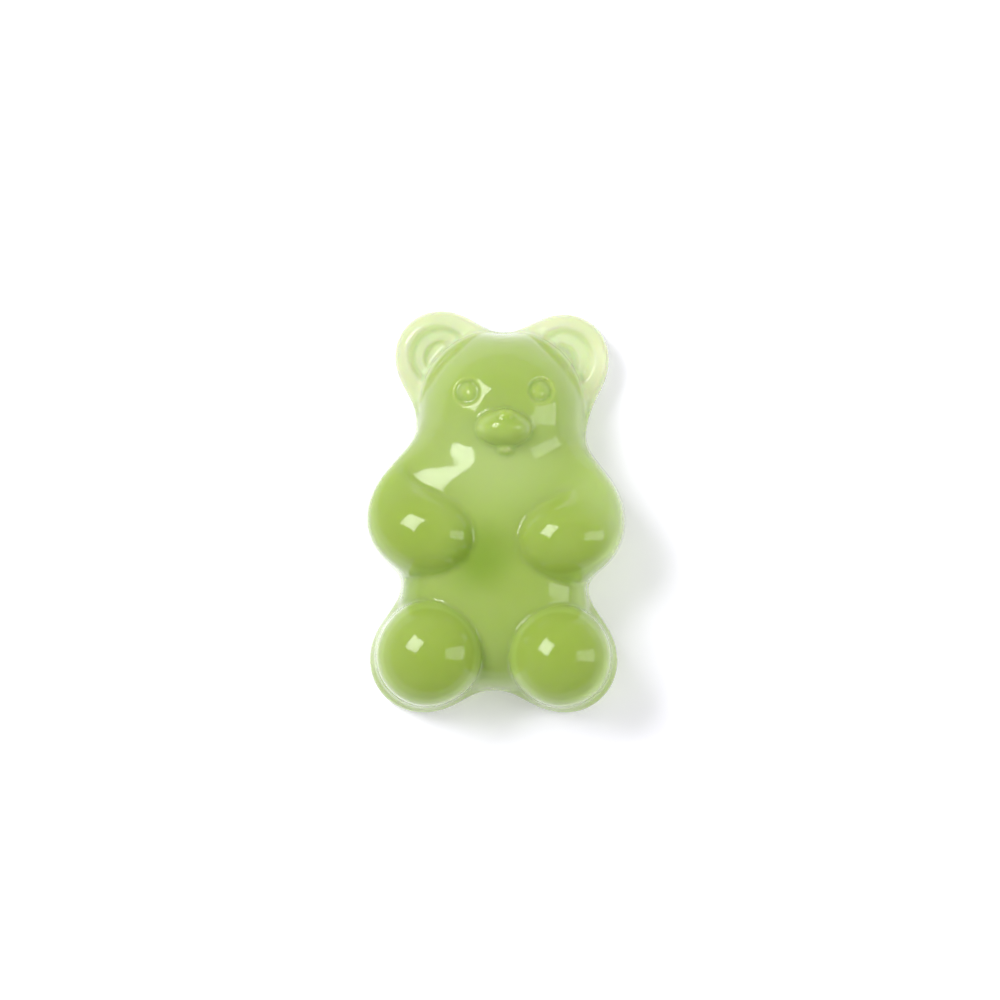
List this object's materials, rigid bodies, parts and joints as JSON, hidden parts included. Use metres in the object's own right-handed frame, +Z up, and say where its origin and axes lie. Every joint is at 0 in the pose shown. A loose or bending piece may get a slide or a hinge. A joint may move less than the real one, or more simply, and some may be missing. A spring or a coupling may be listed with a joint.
{
  "type": "gummy bear",
  "caption": "Small moulded jelly bear sweet in clear green, lying on its flat back with round ears, a raised face, folded paws and forward feet.",
  "frame": {"origin": "centre of the bear's bounding box in plan, on the flat back it lies on", "axes": "+Z up out of the bear's front, +Y towards the top of the head, +X towards the bear's left side as it faces up"},
  "size_m": [0.0142, 0.022, 0.0091],
  "materials": {
    "green_jelly": "soft gloss, see-through green jelly"
  },
  "bodies": {
    "root": {"gummy_bear": "green_jelly"}
  },
  "joints": []
}
